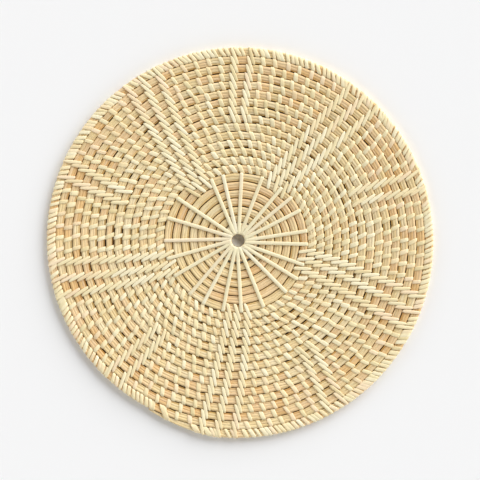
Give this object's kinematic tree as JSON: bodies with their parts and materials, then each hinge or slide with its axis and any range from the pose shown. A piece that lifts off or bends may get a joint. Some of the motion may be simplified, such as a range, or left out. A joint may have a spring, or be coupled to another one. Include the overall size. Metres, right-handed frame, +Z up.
{
  "type": "coiled rattan placemat",
  "caption": "Round coiled rattan placemat with an open eye, a cane lashing that radiates over the bare middle rows, and swirling arms of long stitches out to the rim.",
  "frame": {"origin": "middle of the mat's outline, on the face it lies on; the eye of the coil is 1.8 mm to -X and 1.5 mm to +Y of it", "axes": "+Z up out of the face that carries the plate, +X to the right and +Y to the top of the mat as it is seen from above in the picture"},
  "size_m": [0.3284, 0.3328, 0.0064],
  "materials": {
    "core_reed": "matt, fibrous, bare rattan reed",
    "lashing_cane": "smooth split cane with a soft sheen",
    "stitch_cane": "smooth split cane with a soft sheen"
  },
  "bodies": {
    "root": {"core_coil": "core_reed", "centre_lashing": "lashing_cane", "long_arm_1_line_1": "stitch_cane", "long_arm_1_line_2": "stitch_cane", "long_arm_1_line_3": "stitch_cane", "long_arm_2_line_1": "stitch_cane", "long_arm_2_line_2": "stitch_cane", "long_arm_2_line_3": "stitch_cane", "long_arm_3_line_1": "stitch_cane", "long_arm_3_line_2": "stitch_cane", "long_arm_3_line_3": "stitch_cane", "long_arm_4_line_1": "stitch_cane", "long_arm_4_line_2": "stitch_cane", "long_arm_4_line_3": "stitch_cane", "long_arm_5_line_1": "stitch_cane", "long_arm_5_line_2": "stitch_cane", "long_arm_5_line_3": "stitch_cane", "short_arm_1_line_1": "stitch_cane", "short_arm_1_line_2": "stitch_cane", "short_arm_2_line_1": "stitch_cane", "short_arm_2_line_2": "stitch_cane", "short_arm_3_line_1": "stitch_cane", "short_arm_3_line_2": "stitch_cane", "short_arm_4_line_1": "stitch_cane", "short_arm_4_line_2": "stitch_cane", "short_arm_5_line_1": "stitch_cane", "short_arm_5_line_2": "stitch_cane"}
  },
  "joints": []
}
